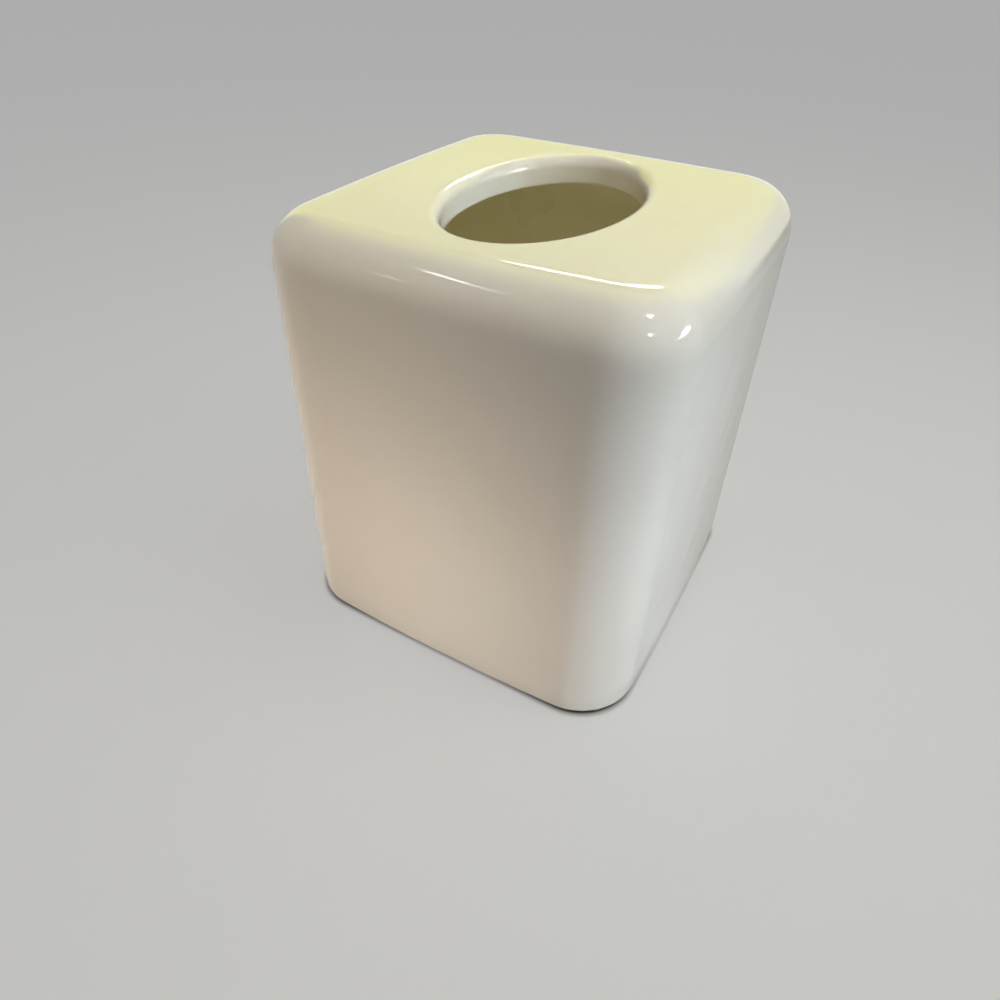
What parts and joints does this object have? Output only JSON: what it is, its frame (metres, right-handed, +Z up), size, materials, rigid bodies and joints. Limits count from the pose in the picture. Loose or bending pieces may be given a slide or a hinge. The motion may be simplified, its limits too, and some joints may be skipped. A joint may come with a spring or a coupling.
{
  "type": "tissue box cover",
  "caption": "Square glazed ceramic cover, open underneath, that goes over a cube tissue box and lets tissues out through an oval opening with a rolled lip.",
  "frame": {"origin": "middle of the foot, on the surface that the cover stands on", "axes": "+Z up through the oval opening; -Y to the front, which is the wide face in the picture; the oval's long axis runs along Y"},
  "size_m": [0.138, 0.138, 0.1498],
  "materials": {
    "glaze": "clear gloss glaze, bare and matt on the foot rim",
    "pad": "clear, soft, satin"
  },
  "bodies": {
    "root": {"cover_shell": "glaze", "pad_front_left": "pad", "pad_front_right": "pad", "pad_back_left": "pad", "pad_back_right": "pad"}
  },
  "joints": []
}
